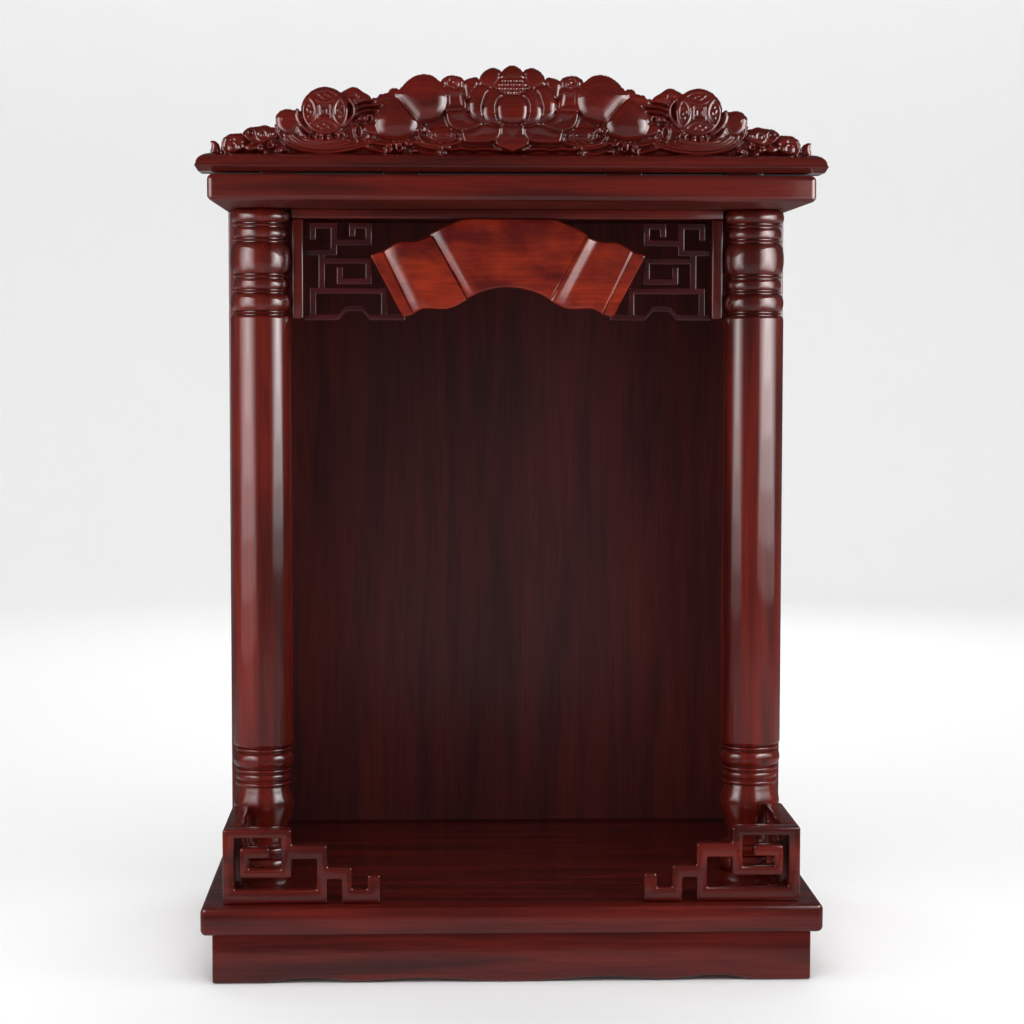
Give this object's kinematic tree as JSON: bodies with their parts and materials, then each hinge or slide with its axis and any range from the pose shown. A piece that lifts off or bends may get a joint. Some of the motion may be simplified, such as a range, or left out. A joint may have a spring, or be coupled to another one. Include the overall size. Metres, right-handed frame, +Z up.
{
  "type": "household altar cabinet",
  "caption": "Open-fronted lacquered wood altar cabinet with turned columns, a pierced frieze with a fan plaque, key-fret corner fences and a carved crest.",
  "frame": {"origin": "on the floor under the middle of the base board", "axes": "+Z up, the open front faces -Y, +X to the right as seen from the front"},
  "size_m": [0.485, 0.36, 0.7056],
  "materials": {
    "lacquer": "glossy lacquer over dark red-brown hardwood",
    "red_lacquer": "glossy lacquer over red-brown hardwood",
    "inner_lacquer": "satin dark lacquer on the inner rear wall"
  },
  "bodies": {
    "root": {"base_board": "lacquer", "plinth_front": "lacquer", "plinth_back": "lacquer", "plinth_left": "lacquer", "plinth_right": "lacquer", "side_panel_left": "lacquer", "side_panel_right": "lacquer", "back_panel": "inner_lacquer", "crown_board": "lacquer", "column_left": "lacquer", "column_right": "lacquer", "frieze_rail": "lacquer", "frieze_stile_left": "lacquer", "frieze_stile_right": "lacquer", "fretwork_left": "lacquer", "fretwork_right": "lacquer", "fan_plaque": "red_lacquer", "fence_front_left": "lacquer", "fence_front_right": "lacquer", "fence_side_left": "lacquer", "fence_side_right": "lacquer", "crest_block_1": "lacquer", "crest_block_2": "lacquer", "crest_block_3": "lacquer", "crest_block_4": "lacquer", "crest_plank": "lacquer", "crest_carving": "red_lacquer"}
  },
  "joints": []
}
